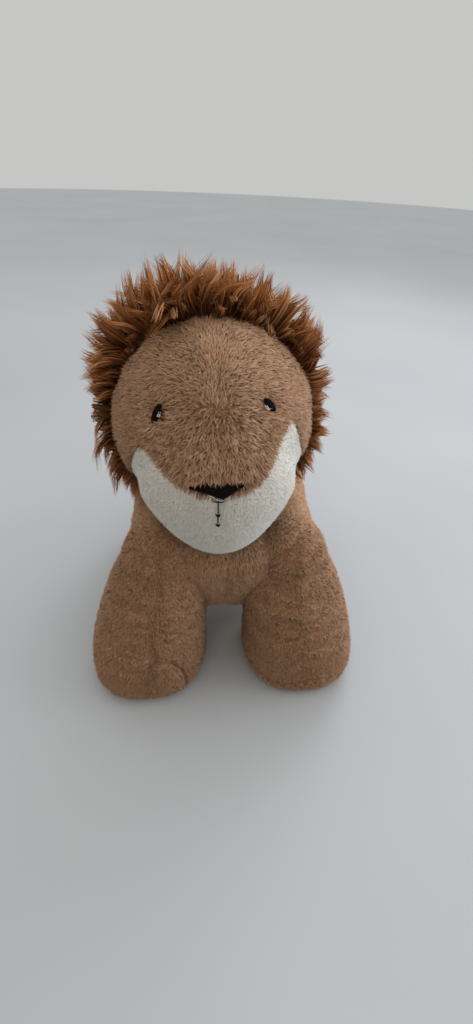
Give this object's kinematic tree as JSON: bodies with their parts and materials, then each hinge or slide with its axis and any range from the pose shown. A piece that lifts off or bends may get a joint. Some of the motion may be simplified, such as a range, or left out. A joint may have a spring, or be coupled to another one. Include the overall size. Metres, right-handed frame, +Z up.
{
  "type": "plush lion",
  "caption": "Stuffed toy lion that stands on four thick legs, with a long pile mane, a white chin, a stitched face and a tufted tail.",
  "frame": {"origin": "middle of the footprint, on the ground under the soles", "axes": "+Z up, the lion faces -Y, its left side is +X"},
  "size_m": [0.212, 0.2566, 0.2961],
  "materials": {
    "plush_brown": "short pile plush, brushed",
    "sole_brown": "short pile plush, brushed",
    "chin_white": "short pile plush, brushed",
    "mane_brown": "long pile fur in pointed clumps",
    "thread_dark": "satin stitched embroidery thread",
    "thread_pale": "satin stitched embroidery thread",
    "fibre_white": "loose polyester fibre stuffing"
  },
  "bodies": {
    "torso": {"torso_left_panel": "plush_brown", "torso_right_panel": "plush_brown", "belly_panel": "plush_brown", "torso_stuffing": "fibre_white"},
    "neck": {"neck_stuffing": "fibre_white"},
    "head": {"head_stuffing": "fibre_white", "chin_panel": "chin_white", "muzzle_panel": "plush_brown", "forehead_left_panel": "plush_brown", "forehead_right_panel": "plush_brown", "mane_left_panel": "mane_brown", "mane_right_panel": "mane_brown", "left_eye": "thread_dark", "left_eye_glint": "thread_pale", "right_eye": "thread_dark", "right_eye_glint": "thread_pale", "nose": "thread_dark", "mouth_stitches": "thread_dark"},
    "front_left_leg": {"front_left_leg_outer_panel": "plush_brown", "front_left_leg_inner_panel": "plush_brown", "front_left_leg_sole": "sole_brown", "front_left_leg_stuffing": "fibre_white"},
    "front_right_leg": {"front_right_leg_outer_panel": "plush_brown", "front_right_leg_inner_panel": "plush_brown", "front_right_leg_sole": "sole_brown", "front_right_leg_stuffing": "fibre_white"},
    "hind_left_leg": {"hind_left_leg_outer_panel": "plush_brown", "hind_left_leg_inner_panel": "plush_brown", "hind_left_leg_sole": "sole_brown", "hind_left_leg_stuffing": "fibre_white"},
    "hind_right_leg": {"hind_right_leg_outer_panel": "plush_brown", "hind_right_leg_inner_panel": "plush_brown", "hind_right_leg_sole": "sole_brown", "hind_right_leg_stuffing": "fibre_white"},
    "tail": {"tail_skin": "plush_brown", "tail_stuffing": "fibre_white", "tail_tuft": "mane_brown"}
  },
  "joints": [
    {"name": "head_turn", "type": "hinge", "parent": "torso", "child": "neck", "pos_m": [-0.009, -0.04939, 0.21], "axis": [0, 0, 1], "range_deg": [-18, 18], "stiffness_Nm_per_rad": 1},
    {"name": "head_nod", "type": "hinge", "parent": "neck", "child": "head", "pos_m": [-0.009, -0.04939, 0.21], "axis": [1, 0, 0], "range_deg": [-10, 3], "stiffness_Nm_per_rad": 1},
    {"name": "front_left_leg_swing", "type": "hinge", "parent": "torso", "child": "front_left_leg", "pos_m": [0.046, -0.07339, 0.112], "axis": [1, 0, 0], "range_deg": [-10, 10], "stiffness_Nm_per_rad": 1},
    {"name": "front_right_leg_swing", "type": "hinge", "parent": "torso", "child": "front_right_leg", "pos_m": [-0.046, -0.07339, 0.112], "axis": [1, 0, 0], "range_deg": [-10, 10], "stiffness_Nm_per_rad": 1},
    {"name": "hind_left_leg_swing", "type": "hinge", "parent": "torso", "child": "hind_left_leg", "pos_m": [0.042, 0.05161, 0.104], "axis": [1, 0, 0], "range_deg": [-10, 10], "stiffness_Nm_per_rad": 1},
    {"name": "hind_right_leg_swing", "type": "hinge", "parent": "torso", "child": "hind_right_leg", "pos_m": [-0.042, 0.05161, 0.104], "axis": [1, 0, 0], "range_deg": [-10, 10], "stiffness_Nm_per_rad": 1},
    {"name": "tail_swing", "type": "hinge", "parent": "torso", "child": "tail", "pos_m": [0, 0.09061, 0.134], "axis": [1, 0, 0], "range_deg": [0, 60]}
  ]
}
